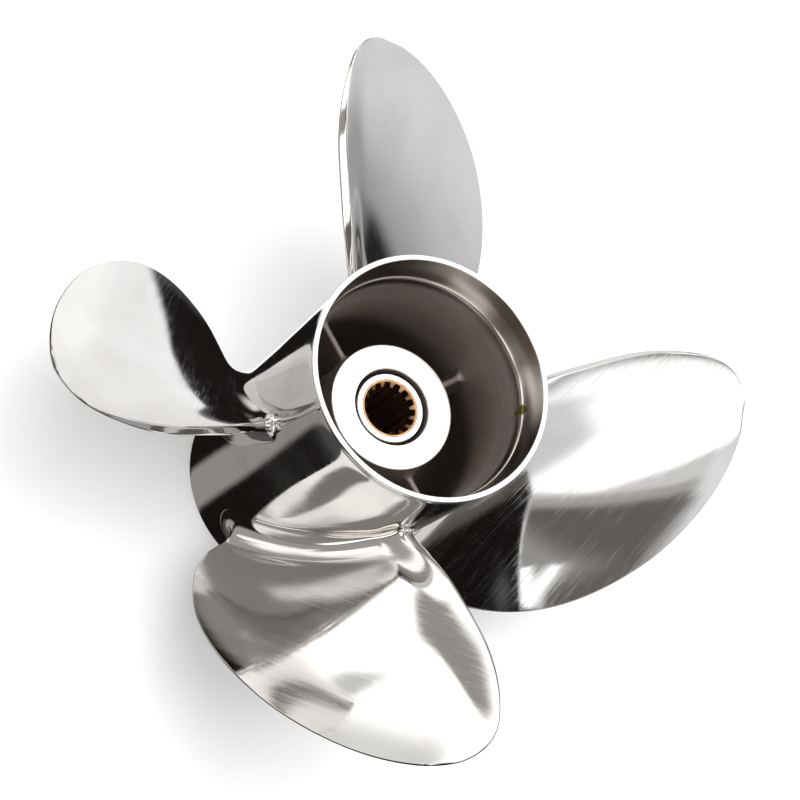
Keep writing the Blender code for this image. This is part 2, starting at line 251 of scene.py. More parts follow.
def hub_profile():
    points = arc((HUB_RADIUS - HUB_ROUND, HUB_AFT - HUB_ROUND), HUB_ROUND, 90, 0)
    points += arc((HUB_RADIUS - HUB_ROUND, HUB_FRONT + HUB_ROUND), HUB_ROUND, 0, -90)
    points += [(HUB_BORE_RADIUS + CHAMFER, HUB_FRONT), (HUB_BORE_RADIUS, HUB_FRONT + CHAMFER)]
    points += [(HUB_BORE_RADIUS, HUB_AFT - HUB_LIP), (HUB_MOUTH_RADIUS, HUB_AFT - HUB_LIP)]
    points += [(HUB_MOUTH_RADIUS, HUB_AFT - CHAMFER), (HUB_MOUTH_RADIUS + CHAMFER, HUB_AFT)]
    return points


hub = spun("inner_hub_skin", hub_profile(), steps=192)

# %% Sleeve ring and rubber bushing
RING_INNER_RADIUS = BRASS_RADIUS + 0.00005
RUBBER_INNER_RADIUS = RING_RADIUS + 0.0001
RUBBER_ROUND = 0.0012


def ring_profile():
    points = [(RING_RADIUS - CHAMFER, SLEEVE_AFT), (RING_RADIUS, SLEEVE_AFT - CHAMFER)]
    points += [(RING_RADIUS, SLEEVE_FRONT + CHAMFER), (RING_RADIUS - CHAMFER, SLEEVE_FRONT)]
    points += [(RING_INNER_RADIUS, SLEEVE_FRONT), (RING_INNER_RADIUS, SLEEVE_AFT)]
    return points


def bushing_profile():
    outer, inner, edge = BUSHING_RADIUS, RUBBER_INNER_RADIUS, RUBBER_ROUND
    points = arc((outer - edge, BUSHING_AFT - edge), edge, 90, 0)
    points += arc((outer - edge, BUSHING_FRONT + edge), edge, 0, -90)
    points += arc((inner + edge, BUSHING_FRONT + edge), edge, -90, -180)
    points += arc((inner + edge, BUSHING_AFT - edge), edge, 180, 90)
    return points


ring = spun("sleeve_ring_skin", ring_profile(), steps=144)
bushing = spun("bushing_skin", bushing_profile(), steps=96)

# %% [markdown]
# ## The splined brass sleeve
# A spline is a ring of teeth that run the whole length of the bore. One flat grid is wrapped twice: its
# columns go round the shaft and its rows go round the sleeve's wall. Where the lead-in cone at each end is
# wider than the teeth, the cone wins, which is what a countersink does to a broached bore.

# %% Brass sleeve
TOOTH_COUNT = 15
COLUMNS_PER_TOOTH = 20
SPLINE_ROOT = 0.0130
SPLINE_TIP = 0.0112
ROOT_SHARE = 0.50     # share of half a tooth's pitch that is flat root
FLANK_SHARE = 0.22    # and share that the flank takes
BRASS_MOUTH = 0.0135
BRASS_CHAMFER = 0.0003
LEAD_IN = 0.0024
LEAD_TIP = SPLINE_TIP - 0.0004
LEAD_STEPS = 8


def spline_radius(angle):
    """Radius of the bore, with flat roots and tips and sloping flanks between them."""
    place = (angle * TOOTH_COUNT / math.tau) % 1.0
    side = abs(place - 0.5) * 2
    return SPLINE_ROOT + (SPLINE_TIP - SPLINE_ROOT) * ramp((side - ROOT_SHARE) / FLANK_SHARE)


# %% Wrap a flat grid
def wrapped_grid(columns, rows, place, closed_rows=True):
    """A flat grid whose point at column i and row j goes to place(i, j), with its seams merged."""
    builder = bmesh.new()
    bmesh.ops.create_grid(builder, x_segments=columns, y_segments=rows, size=0.5)
    for vert in builder.verts:
        i = round((vert.co.x + 0.5) * columns)
        j = round((vert.co.y + 0.5) * rows)
        vert.co = place(i % columns, j % rows if closed_rows else j)
    bmesh.ops.remove_doubles(builder, verts=builder.verts, dist=2e-6)
    bmesh.ops.dissolve_degenerate(builder, edges=builder.edges, dist=1e-7)
    bmesh.ops.recalc_face_normals(builder, faces=builder.faces)
    return builder


# %% The sleeve's wall, and the sleeve
def lead_in(end, way, shares):
    """Stations down the cone from one end of the sleeve. Way is 1 up from the front end and -1 down."""
    return [(end + way * LEAD_IN * k / LEAD_STEPS, BRASS_MOUTH + (LEAD_TIP - BRASS_MOUTH) * k / LEAD_STEPS)
            for k in shares]


def brass_wall():
    """Stations down the bore, with the least radius it has there, and up the outside, with its radius."""
    inside = lead_in(SLEEVE_AFT, -1, range(LEAD_STEPS + 1))
    inside += [(SLEEVE_AFT + (SLEEVE_FRONT - SLEEVE_AFT) * k / 4, 0.0) for k in (1, 2, 3)]
    inside += lead_in(SLEEVE_FRONT, 1, range(LEAD_STEPS, -1, -1))
    edge = BRASS_CHAMFER
    return inside + [(SLEEVE_FRONT, BRASS_RADIUS - edge), (SLEEVE_FRONT + edge, BRASS_RADIUS),
                     (SLEEVE_AFT - edge, BRASS_RADIUS), (SLEEVE_AFT, BRASS_RADIUS - edge)]


def make_brass():
    wall = brass_wall()
    outer_rows = len(wall) - 4
    columns = TOOTH_COUNT * COLUMNS_PER_TOOTH

    def place(i, j):
        angle = math.tau * i / columns
        height, least = wall[j]
        radius = least if j >= outer_rows else max(least, spline_radius(angle))
        return Vector((radius * math.cos(angle), radius * math.sin(angle), height))

    return finish(wrapped_grid(columns, len(wall), place), "spline_sleeve_skin", crease=30)


brass = make_brass()
print("brass triangles:", 2 * len(brass.data.polygons))

# %% [markdown]
# ## Ribs
# Four webs hold the inner hub in the barrel. Each is a cube that is rounded along its long edges, cut across,
# and thickened towards both ends for the casting's fillets.

# %% Ribs
RIB_HALF = 0.0016
RIB_FILLET = 0.0035
RIB_FIRST_ANGLE = 45.0
RIB_CUTS = 23
RIB_SINK = 0.0002     # how far its ends reach into the hub and the barrel
RIB_ROUNDING = 0.8    # radius of its long edges, as a share of its half thickness
RIB_RISE = 0.6        # how far its aft edge rises at the fillets, as a share of their growth


def rib_half_thickness(radius):
    near = min(radius - HUB_RADIUS, BORE_RADIUS - radius)
    if near >= RIB_FILLET:
        return RIB_HALF
    reach = RIB_FILLET - max(near, 0.0)
    return RIB_HALF + RIB_FILLET - math.sqrt(RIB_FILLET ** 2 - reach ** 2)


def edges_along_x(builder):
    return [edge for edge in builder.edges if abs(edge.verts[0].co.x - edge.verts[1].co.x) > 1e-4]


def make_rib(number):
    inner, outer = HUB_RADIUS - RIB_SINK, BORE_RADIUS + RIB_SINK
    builder = bmesh.new()
    bmesh.ops.create_cube(builder, size=1.0)
    size = Matrix.Diagonal((outer - inner, 2 * RIB_HALF, RIB_AFT - RIB_FRONT, 1.0))
    middle = Matrix.Translation(((inner + outer) / 2, 0.0, (RIB_FRONT + RIB_AFT) / 2))
    bmesh.ops.transform(builder, verts=builder.verts, matrix=middle @ size)
    bmesh.ops.bevel(builder, geom=edges_along_x(builder), offset=RIB_HALF * RIB_ROUNDING, segments=4,
                    profile=0.5, affect="EDGES", material=-1)
    bmesh.ops.subdivide_edges(builder, edges=edges_along_x(builder), cuts=RIB_CUTS, use_grid_fill=True)
    for vert in builder.verts:
        grow = rib_half_thickness(vert.co.x) / RIB_HALF
        top = RIB_AFT - vert.co.z
        vert.co.y *= grow
        if top < RIB_HALF * 2:
            vert.co.z += (grow - 1) * RIB_HALF * RIB_RISE
    angle = math.radians(RIB_FIRST_ANGLE) + math.tau * (number - 1) / BLADE_COUNT
    bmesh.ops.rotate(builder, verts=builder.verts, cent=(0, 0, 0), matrix=Matrix.Rotation(angle, 3, "Z"))
    bmesh.ops.recalc_face_normals(builder, faces=builder.faces)
    return finish(builder, f"rib_{number}_skin")


ribs = [make_rib(number) for number in range(1, BLADE_COUNT + 1)]
print("rib faces:", len(ribs[0].data.polygons))

# %% [markdown]
# ## The blade's face
# A propeller's pressure face is part of a screw: as the angle round the shaft grows, the face climbs. The
# pitch says how fast. Rake carries the blade aft as it goes outwards, and a lift at the leading edge gives
# the face its hollow. The trailing edge curls aft in a small cup.

# %% Points of the pressure face
ROOT_HEIGHT = 0.1053
RAKE = (0.0580, 0.0043, -0.0076)
LEADING_LIFT = 0.0132
CUP_DEPTH = 0.0018
CUP_EASE = 0.5
CUP_START = 0.86
SPAN_END = EDGE_STATIONS[-1][0]
NORMAL_LIMIT = 0.17779    # just inside the end of the span, where a normal can still be measured


def span_of(radius):
    return min(max((radius - ROOT_RADIUS) / (SPAN_END - ROOT_RADIUS), 0.0), 1.0)


def roundness(span):
    """The span, re-spaced so that even steps follow the outline round the tip."""
    return math.asin(span) / (math.pi / 2)


EDGES_BY_ROUNDNESS = [(roundness(span_of(radius)), lead, trail) for radius, lead, trail in EDGE_STATIONS]


# %% A point of the face, and the way it looks
def face_point(radius, chord):
    span = span_of(radius)
    along = roundness(span)
    lead = smooth_through(EDGES_BY_ROUNDNESS, along, 1)
    trail = smooth_through(EDGES_BY_ROUNDNESS, along, 2)
    angle = lead + (trail - lead) * chord
    rake = ROOT_HEIGHT + sum(part * span ** (power + 1) for power, part in enumerate(RAKE))
    lift = LEADING_LIFT * (1 - along) * (1 - chord) ** 2
    cup = CUP_DEPTH * (1 - span ** 2) * ramp(chord / CUP_EASE)
    cup *= 1 - ramp((chord - CUP_START) / (1 - CUP_START))
    turn = math.radians(REFERENCE_ANGLE + angle)
    return Vector((radius * math.cos(turn), radius * math.sin(turn), rake + PITCH * angle / 360 + lift - cup))


def face_normal(radius, chord):
    step, reach = 0.01, 0.0008
    along = face_point(radius, min(chord + step, 1.0)) - face_point(radius, max(chord - step, 0.0))
    out = face_point(min(radius + reach, NORMAL_LIMIT), chord) - face_point(radius - reach, chord)
    normal = out.cross(along).normalized()
    return normal if normal.z > 0 else -normal


for radius in (0.06, 0.12, 0.17):
    print("middle of the face, in mm:", [round(1000 * value, 1) for value in face_point(radius, 0.5)])

# %% [markdown]
# ## A section round the blade
# Each section is a closed loop: forward along the pressure face to the thin leading edge, round its nose,
# back along the suction side, and across the blunt trailing edge. Near the barrel the loop swells into the
# root fillet.

# %% Thickness and the closed section
FACE_COLUMNS = 64
NOSE_COLUMNS = 12
TAIL_COLUMNS = 20
COLUMNS = 2 * FACE_COLUMNS + NOSE_COLUMNS + TAIL_COLUMNS
ROOT_THICKNESS = 0.0095
TIP_THICKNESS = 0.0026
THINNING_POWER = 0.8
THICKEST = 0.62           # share of the chord
NOSE_THICKNESS = 0.0012
TAIL_THICKNESS = 0.0050
TAIL_FADE = 0.75          # share of the trailing edge's thickness that is lost towards the tip
TAIL_FADE_START = 0.55
NOSE_REACH = 0.00058
TAIL_ROUND = 0.0005
TAIL_SQUARENESS = 8
EDGE_STEP = 0.02          # share of the chord, for the direction in which an edge points
FOOT_HEIGHT = 0.0527      # where the barrel has the radius that the foot rows start from
FOOT_RADIUS = barrel_radius(FOOT_HEIGHT)
FLARE_ROUNDS = 3          # rounds that settle a point's radius over the flared barrel


def thickness(span, chord):
    thickest = ROOT_THICKNESS + (TIP_THICKNESS - ROOT_THICKNESS) * span ** THINNING_POWER
    fade = TAIL_FADE * ramp((span - TAIL_FADE_START) / (1 - TAIL_FADE_START))
    tail = min(TAIL_THICKNESS * (1 - fade), thickest)
    if chord < THICKEST:
        return NOSE_THICKNESS + (thickest - NOSE_THICKNESS) * math.sin(chord / THICKEST * math.pi / 2)
    fall = math.cos((chord - THICKEST) / (1 - THICKEST) * math.pi / 2)
    return tail + (thickest - tail) * fall


# %% Columns round the section
def place_round(column):
    """Chord, share of the thickness, and reach past the edge, for a column of the section."""
    if column <= FACE_COLUMNS:
        share = column / FACE_COLUMNS
        return 0.5 + 0.5 * math.cos(math.pi * share), 0.0, 0.0
    column -= FACE_COLUMNS
    if column < NOSE_COLUMNS:
        turn = math.pi * column / NOSE_COLUMNS
        return 0.0, 0.5 - 0.5 * math.cos(turn), -NOSE_REACH * math.sin(turn)
    column -= NOSE_COLUMNS
    if column <= FACE_COLUMNS:
        share = column / FACE_COLUMNS
        return 0.5 - 0.5 * math.cos(math.pi * share), 1.0, 0.0
    column -= FACE_COLUMNS
    turn = math.pi * column / TAIL_COLUMNS
    across = 0.5 + 0.5 * math.cos(turn)
    return 1.0, across, TAIL_ROUND * (1 - abs(2 * across - 1) ** TAIL_SQUARENESS)


ROUND = [place_round(column) for column in range(COLUMNS)]
print("columns round a section:", COLUMNS)


# %% A section at any radius
def section(radius, fade=1.0, flare=0.0):
    """The closed section at a radius. Fade thins it about its middle, which rounds off the tip. Flare bends
    it so that it keeps its height over the barrel, which is wider towards the rim."""
    known = {}
    points = []
    for chord, share, reach in ROUND:
        if chord not in known:
            here = radius
            for _ in range(FLARE_ROUNDS if flare else 0):
                here = radius + flare * (barrel_radius(face_point(here, chord).z) - FOOT_RADIUS)
            thick = thickness(span_of(here), chord)
            known[chord] = (face_point(here, chord), face_normal(here, chord), thick, here)
        face, normal, thick, here = known[chord]
        point = face - normal * thick * (0.5 + (share - 0.5) * fade)
        if reach:
            side = EDGE_STEP if chord < 0.5 else -EDGE_STEP
            outward = (face - face_point(here, chord + side)).normalized()
            point += outward * abs(reach) * fade
        points.append(point)
    return points


middle = section((ROOT_RADIUS + TIP_RADIUS) / 2)
around = sum((second - first).length for first, second in zip(middle, middle[1:] + middle[:1]))
print("once round the middle section, in mm:", round(1000 * around, 1))

# %% [markdown]
# ## The blade's rows
# The rows run from a hidden foot line under the barrel's skin, out along the barrel, up through the fillet
# and along the span to the tip. The fillet is drawn a little closer into the corner than a quarter circle:
# while the row climbs by one leg, its spread over the barrel shrinks by the other, so it leaves the barrel
# and meets the blade without a crease.

# %% Sizes of the fillet and the rows
FILLET_REACH = 0.0138
FILLET_POWER = 2 / 2.4    # 2 over the curve's exponent, which is 2 for a quarter circle
FILLET_ROWS = 24
FILLET_SAMPLES = 400
TAIL_SPREAD = 0.42
TAIL_SPREAD_START = 0.50
SPAN_ROWS = 84
TIP_ROWS = 6
TIP_ROUND_START = 0.996
SKIRT_SINK = 0.0004
SKIRT_REACH = 0.0010
DIRECTION_EASE = 0.0030
FOOT_EASE = 0.0016
FOOT_EASE_END = 0.0900
EASE_SPREAD = 2.5         # how many reaches an average looks to either side
OUTER_TRIM = 0.0001
OUTER_TRIM_START = 0.150
OUTER_TRIM_RUN = 0.020


# %% Directions that lie in the barrel's skin
def unrolled(point):
    """Distance round the barrel and height, for directions that lie in the barrel's skin."""
    radius = math.hypot(point.x, point.y)
    return radius * math.atan2(point.y, point.x), point.z


def eased(points, reach):
    """A closed loop of points, each one averaged with those within reach of it along the loop."""
    count = len(points)
    steps = [(points[(k + 1) % count] - points[k]).length for k in range(count)]
    result = []
    for k in range(count):
        weights = (steps[k] + steps[k - 1]) / 2
        total = points[k] * weights
        for way in (1, -1):
            travelled, j = 0.0, k
            while travelled < reach * EASE_SPREAD:
                travelled += steps[j] if way == 1 else steps[j - 1]
                j = (j + way) % count
                weight = math.exp(-(travelled / reach) ** 2) * (steps[j] + steps[j - 1]) / 2
                total = total + points[j] * weight
                weights += weight
        result.append(total / weights)
    return result


def spread_directions(points):
    """Outward directions of a section in the barrel's skin, turning gently round its narrow ends."""
    flat = []
    for point in eased(points, DIRECTION_EASE):
        around, height = unrolled(point)
        flat.append(Vector((around, height)))
    wrap = math.tau * math.hypot(points[0].x, points[0].y)
    for place in flat:
        place.x -= wrap * round((place.x - flat[0].x) / wrap)
    count = len(flat)
    raw = []
    for k in range(count):
        tangent = (flat[(k + 1) % count] - flat[k - 1]).normalized()
        raw.append(Vector((tangent.y, -tangent.x)))
    area = sum(flat[k - 1].x * flat[k].y - flat[k].x * flat[k - 1].y for k in range(count))
    return [direction if area > 0 else -direction for direction in raw]


# %% A row on the barrel, and one under its skin
def at_height(point, height):
    stretch = (barrel_radius(point.z) + height) / math.hypot(point.x, point.y)
    return Vector((point.x * stretch, point.y * stretch, point.z))


def foot_row(height, spread):
    """A section near the barrel, moved outwards in the barrel's skin by the fillet's spread."""
    points = eased(section(FOOT_RADIUS + height, flare=1.0), FOOT_EASE)
    moved = []
    for point, direction, (chord, share, reach) in zip(points, spread_directions(points), ROUND):
        near_tail = ramp((chord - TAIL_SPREAD_START) / (1 - TAIL_SPREAD_START))
        move = direction * spread * (1 + (TAIL_SPREAD - 1) * near_tail)
        radius = math.hypot(point.x, point.y)
        around = math.atan2(point.y, point.x) + move.x / radius
        here = Vector((radius * math.cos(around), radius * math.sin(around), point.z + move.y))
        moved.append(at_height(here, height))
    return moved


def camber_row(row, share, sink):
    """The row drawn in towards the line between its two sides, under the barrel's skin."""
    count = len(row)
    drawn = []
    for k, point in enumerate(row):
        opposite = row[(2 * FACE_COLUMNS + NOSE_COLUMNS - k) % count]
        if k > 2 * FACE_COLUMNS + NOSE_COLUMNS:
            opposite = row[(2 * FACE_COLUMNS + NOSE_COLUMNS + count - k) % count]
        drawn.append(at_height(point.lerp(opposite, share / 2), -sink))
    return drawn


# %% All rows of a blade
def fillet_steps():
    """Height and spread of each row of the fillet, evenly spaced along its curve."""
    turns = [math.pi / 2 * k / FILLET_SAMPLES for k in range(FILLET_SAMPLES + 1)]
    curve = [Vector((1 - math.cos(turn) ** FILLET_POWER, 1 - math.sin(turn) ** FILLET_POWER))
             for turn in turns]
    travel = [0.0]
    for first, second in zip(curve, curve[1:]):
        travel.append(travel[-1] + (second - first).length)
    steps = []
    for k in range(FILLET_ROWS + 1):
        wanted = travel[-1] * k / FILLET_ROWS
        near = min(range(len(travel)), key=lambda n: abs(travel[n] - wanted))
        steps.append(curve[near] * FILLET_REACH)
    return steps


def trimmed(point):
    """The point drawn in a little where the blade is widest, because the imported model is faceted."""
    radius = math.hypot(point.x, point.y)
    keep = 1 - OUTER_TRIM * ramp((radius - OUTER_TRIM_START) / OUTER_TRIM_RUN) / radius
    return Vector((point.x * keep, point.y * keep, point.z))


def blade_rows():
    rows = []
    skirt = foot_row(0.0, FILLET_REACH + SKIRT_REACH)
    for share in (1.0, 0.75, 0.5, 0.25, 0.0):
        rows.append(camber_row(skirt, share, SKIRT_SINK))
    for height, spread in fillet_steps():
        rows.append(foot_row(height, spread))
    foot_end = FOOT_RADIUS + FILLET_REACH
    start, end = roundness(span_of(foot_end)), roundness(TIP_ROUND_START)
    for k in range(1, SPAN_ROWS + 1):
        span = math.sin((start + (end - start) * k / SPAN_ROWS) * math.pi / 2)
        radius = ROOT_RADIUS + span * (TIP_RADIUS - ROOT_RADIUS)
        share = ramp((radius - foot_end) / (FOOT_EASE_END - foot_end))
        row = section(radius, flare=1 - share)
        if share < 1:
            row = [soft.lerp(point, share) for soft, point in zip(eased(row, FOOT_EASE), row)]
        rows.append(row)
    for k in range(1, TIP_ROWS + 1):
        turn = math.pi / 2 * k / TIP_ROWS
        span = TIP_ROUND_START + (1 - TIP_ROUND_START) * math.sin(turn)
        rows.append(section(ROOT_RADIUS + span * (TIP_RADIUS - ROOT_RADIUS), fade=math.cos(turn)))
    return [[trimmed(point) for point in row] for row in rows]


rows = blade_rows()
print("rows from foot to tip:", len(rows))


# %% Wrap the grid and copy the blade round the barrel
def make_blade(number):
    def place(i, j):
        return rows[j][i]

    builder = wrapped_grid(COLUMNS, len(rows) - 1, place, closed_rows=False)
    plan = builder.loops.layers.uv.new("plan")
    for face in builder.faces:
        for loop in face.loops:
            loop[plan].uv = loop.vert.co.xy
    turn = Matrix.Rotation(math.tau * (number - 1) / BLADE_COUNT, 3, "Z")
    bmesh.ops.rotate(builder, verts=builder.verts, cent=(0, 0, 0), matrix=turn)
    return finish(builder, f"blade_{number}_skin", crease=60)


blades = [make_blade(number) for number in range(1, BLADE_COUNT + 1)]
print("blade triangles:", 2 * len(blades[0].data.polygons))

# %% [markdown]
# ## The pieces take their nodes' places
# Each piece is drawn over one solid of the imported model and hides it. Nothing on a propeller moves on its
# own, so every piece rides on the one body.

# %% Every piece stands for its node
for piece, node in [(barrel, "barrel"), (hub, "inner_hub"), (ring, "sleeve_ring"),
                    (bushing, "rubber_bushing"), (brass, "spline_sleeve"),
                    *zip(ribs, ("rib_1", "rib_2", "rib_3", "rib_4")),
                    *zip(blades, ("blade_1", "blade_2", "blade_3", "blade_4"))]:
    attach(piece, "root")
    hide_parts(node)

# %% [markdown]
# ## Camera
# The camera's place, turn and lens were found by fitting the outlines of the rim, the hub, the barrel and the
# blades to the photograph. A mirror shows a different part of the room from every place, so this comes before
# the room is painted.

# %% Camera
CAMERA_AIM = Vector((0.0170, 0.0236, 0.0830))
CAMERA_DISTANCE = 1.6028
CAMERA_AZIMUTH = math.radians(-36.44)
CAMERA_ELEVATION = math.radians(58.62)
CAMERA_ROLL = math.radians(53.87)
LENS = 147.9

back = Vector((math.sin(CAMERA_AZIMUTH) * math.cos(CAMERA_ELEVATION),
               -math.cos(CAMERA_AZIMUTH) * math.cos(CAMERA_ELEVATION), math.sin(CAMERA_ELEVATION)))
camera_data = bpy.data.cameras.new("camera")
camera_data.lens = LENS
camera_data.sensor_width = 36.0
camera = bpy.data.objects.new("camera", camera_data)
bpy.context.scene.collection.objects.link(camera)
camera.matrix_world = (Matrix.Translation(CAMERA_AIM + back * CAMERA_DISTANCE)
                       @ back.to_track_quat("Z", "Y").to_matrix().to_4x4()
                       @ Matrix.Rotation(CAMERA_ROLL, 4, "Z"))
bpy.context.scene.camera = camera

# %% [markdown]
# ## Shader helpers
# Every finish here is a node tree, so a few short helpers keep the wiring readable: one adds any node and
# sets its values, short ones add the kinds that are used most, one makes a group with named sockets, and one
# starts a material.

# %% Node helpers
def plug(tree, value, socket):
    """Feed an input from a socket, or set it to a number or a colour."""
    if isinstance(value, bpy.types.NodeSocket):
        tree.links.new(value, socket)
    else:
        socket.default_value = value


def add_node(tree, kind, links=(), **values):
    """Add a node. Values set its properties; links are pairs of an input and a number, colour or socket."""
    node = tree.nodes.new(kind)
    for key, value in values.items():
        setattr(node, key, value)
    for key, value in links:
        plug(tree, value, node.inputs[key])
    return node


def math_node(tree, operation, *parts):
    return add_node(tree, "ShaderNodeMath", list(enumerate(parts)), operation=operation).outputs[0]


def ramp_node(tree, value, low, high, to_low=0.0, to_high=1.0):
    """A value eased from to_low to to_high while it goes from low to high."""
    links = [("Value", value), ("From Min", low), ("From Max", high), ("To Min", to_low), ("To Max", to_high)]
    return add_node(tree, "ShaderNodeMapRange", links, interpolation_type="SMOOTHSTEP").outputs["Result"]


def mix_colour(tree, factor, first, second):
    node = add_node(tree, "ShaderNodeMix", [("Factor", factor)], data_type="RGBA")
    for value, socket in zip((first, second), [socket for socket in node.inputs if socket.type == "RGBA"]):
        plug(tree, value, socket)
    return [socket for socket in node.outputs if socket.type == "RGBA"][0]


def vector_math(tree, operation, *parts):
    return add_node(tree, "ShaderNodeVectorMath", list(enumerate(parts)), operation=operation)


def noise_node(tree, place, scale, detail, **more):
    """Noise at a place. More holds inputs such as Roughness or Distortion."""
    links = [("Vector", place), ("Scale", scale), ("Detail", detail), *more.items()]
    return add_node(tree, "ShaderNodeTexNoise", links).outputs[0]


def bump_node(tree, height, distance, strength=1.0):
    links = [("Height", height), ("Distance", distance), ("Strength", strength)]
    return add_node(tree, "ShaderNodeBump", links).outputs[0]


def object_place(tree):
    """Object coordinates, and the height along the shaft."""
    place = add_node(tree, "ShaderNodeTexCoord").outputs["Object"]
    return place, add_node(tree, "ShaderNodeSeparateXYZ", [("Vector", place)]).outputs["Z"]


# %% Helpers for groups and materials
def new_group(name, inputs, outputs):
    """A shader node group with named sockets. Inputs are (name, type, default), outputs (name, type)."""
    group = bpy.data.node_groups.new(name, "ShaderNodeTree")
    for socket_name, kind, default in inputs:
        socket = group.interface.new_socket(name=socket_name, in_out="INPUT", socket_type=kind)
        if default is not None:
            socket.default_value = default
    for socket_name, kind in outputs:
        group.interface.new_socket(name=socket_name, in_out="OUTPUT", socket_type=kind)
    return group, group.nodes.new("NodeGroupInput"), group.nodes.new("NodeGroupOutput")


def use_group(tree, group, links):
    node = tree.nodes.new("ShaderNodeGroup")
    node.node_tree = group
    for key, value in links:
        plug(tree, value, node.inputs[key])
    return node


def new_material(name, metallic, roughness, colour):
    material = bpy.data.materials.new(name)
    material.use_nodes = True
    shader = material.node_tree.nodes["Principled BSDF"]
    shader.inputs["Metallic"].default_value = metallic
    shader.inputs["Roughness"].default_value = roughness
    shader.inputs["Base Color"].default_value = (*colour, 1.0)
    return material, material.node_tree, shader


VALUE, VECTOR = "NodeSocketFloat", "NodeSocketVector"
print("node helpers ready")

# %% [markdown]
# ## Marks that several finishes share
# Buffing leaves fine strokes in one direction, deep enough to catch a light and too fine to bend a
# reflection. The noise is stretched along one axis, and a second, coarser layer makes the strokes come and
# go. Handling adds broad dull patches and specks, and a lathe leaves rings. Each is a group, with its size as
# an input.

# %% Group: buffing strokes
COMING_AND_GOING = (0.30, 0.62)    # values of the coarse noise between which the strokes fade in
SCORED_FROM = (0.44, 0.72)         # values of the fine noise between which a stroke roughens the metal

strokes, given, result = new_group(
    "buffing_strokes",
    [("Vector", VECTOR, None), ("Width", VALUE, 0.0008), ("Length", VALUE, 0.010)],
    [("Height", VALUE), ("Scored", VALUE)],
)
split = add_node(strokes, "ShaderNodeSeparateXYZ", [("Vector", given.outputs["Vector"])])
along = math_node(strokes, "DIVIDE", split.outputs["X"], given.outputs["Length"])
across = math_node(strokes, "DIVIDE", split.outputs["Y"], given.outputs["Width"])
depth = math_node(strokes, "DIVIDE", split.outputs["Z"], given.outputs["Width"])
place = add_node(strokes, "ShaderNodeCombineXYZ", [("X", along), ("Y", across), ("Z", depth)]).outputs[0]
fine = noise_node(strokes, place, 1.0, 3.0, Roughness=0.65)
amount = ramp_node(strokes, noise_node(strokes, place, 0.13, 1.0), *COMING_AND_GOING)
strokes.links.new(math_node(strokes, "MULTIPLY", fine, amount), result.inputs["Height"])
scored = ramp_node(strokes, fine, *SCORED_FROM)
strokes.links.new(math_node(strokes, "MULTIPLY", scored, amount), result.inputs["Scored"])

# %% Group: handling
DULL_FROM = (0.42, 0.68)      # values of the noise between which a patch dulls the metal
SPECK_REACH = (0.05, 0.13)    # where a speck starts to fade, and where it ends, as shares of a cell

handling, given, result = new_group(
    "handling", [("Vector", VECTOR, None), ("Size", VALUE, 0.03)], [("Dull", VALUE), ("Specks", VALUE)])
scaled = add_node(handling, "ShaderNodeVectorMath", [(0, given.outputs["Vector"])], operation="SCALE")
handling.links.new(math_node(handling, "DIVIDE", 1.0, given.outputs["Size"]), scaled.inputs["Scale"])
broad = noise_node(handling, scaled.outputs[0], 1.0, 4.0, Distortion=0.6)
handling.links.new(ramp_node(handling, broad, *DULL_FROM), result.inputs["Dull"])
dots = add_node(handling, "ShaderNodeTexVoronoi", [("Vector", scaled.outputs[0]), ("Scale", 14.0)])
specks = ramp_node(handling, dots.outputs["Distance"], *SPECK_REACH, 1.0, 0.0)
handling.links.new(specks, result.inputs["Specks"])

# %% Group: turning rings
turning, given, result = new_group(
    "turning_rings", [("Vector", VECTOR, None), ("Spacing", VALUE, 0.0006)], [("Height", VALUE)])
split = add_node(turning, "ShaderNodeSeparateXYZ", [("Vector", given.outputs["Vector"])])
flat = add_node(turning, "ShaderNodeCombineXYZ", [("X", split.outputs["X"]), ("Y", split.outputs["Y"])])
from_shaft = vector_math(turning, "LENGTH", flat.outputs[0]).outputs["Value"]
travel = math_node(turning, "ADD", from_shaft, split.outputs["Z"])
steps = math_node(turning, "DIVIDE", travel, given.outputs["Spacing"])
rings = add_node(turning, "ShaderNodeTexNoise", [("W", steps), ("Scale", 1.0), ("Detail", 2.0)],
                 noise_dimensions="1D")
turning.links.new(rings.outputs[0], result.inputs["Height"])
print("groups:", [group.name for group in bpy.data.node_groups])

# %% [markdown]
# ## Mirror-polished stainless
# The blades read a UV map that is their own plan view in metres, made before each blade is turned to its
# place, so the strokes run the same way on all four. The fourth, at the right of the photograph, is buffed
# more coarsely. The barrel reads Object coordinates.

# %% Material: polished blades
STROKE_ANGLE = math.radians(160.2)
STROKE_WIDTH = 0.0005
STROKE_LENGTH = 0.012
PATCH_SIZE = 0.045
BLADE_STROKES, BARREL_STROKES = 0.000004, 0.000003    # how deep the strokes are
POLISH, DULLED, SPECKLED = 0.045, 0.035, 0.1          # roughness, and what patches and specks add to it


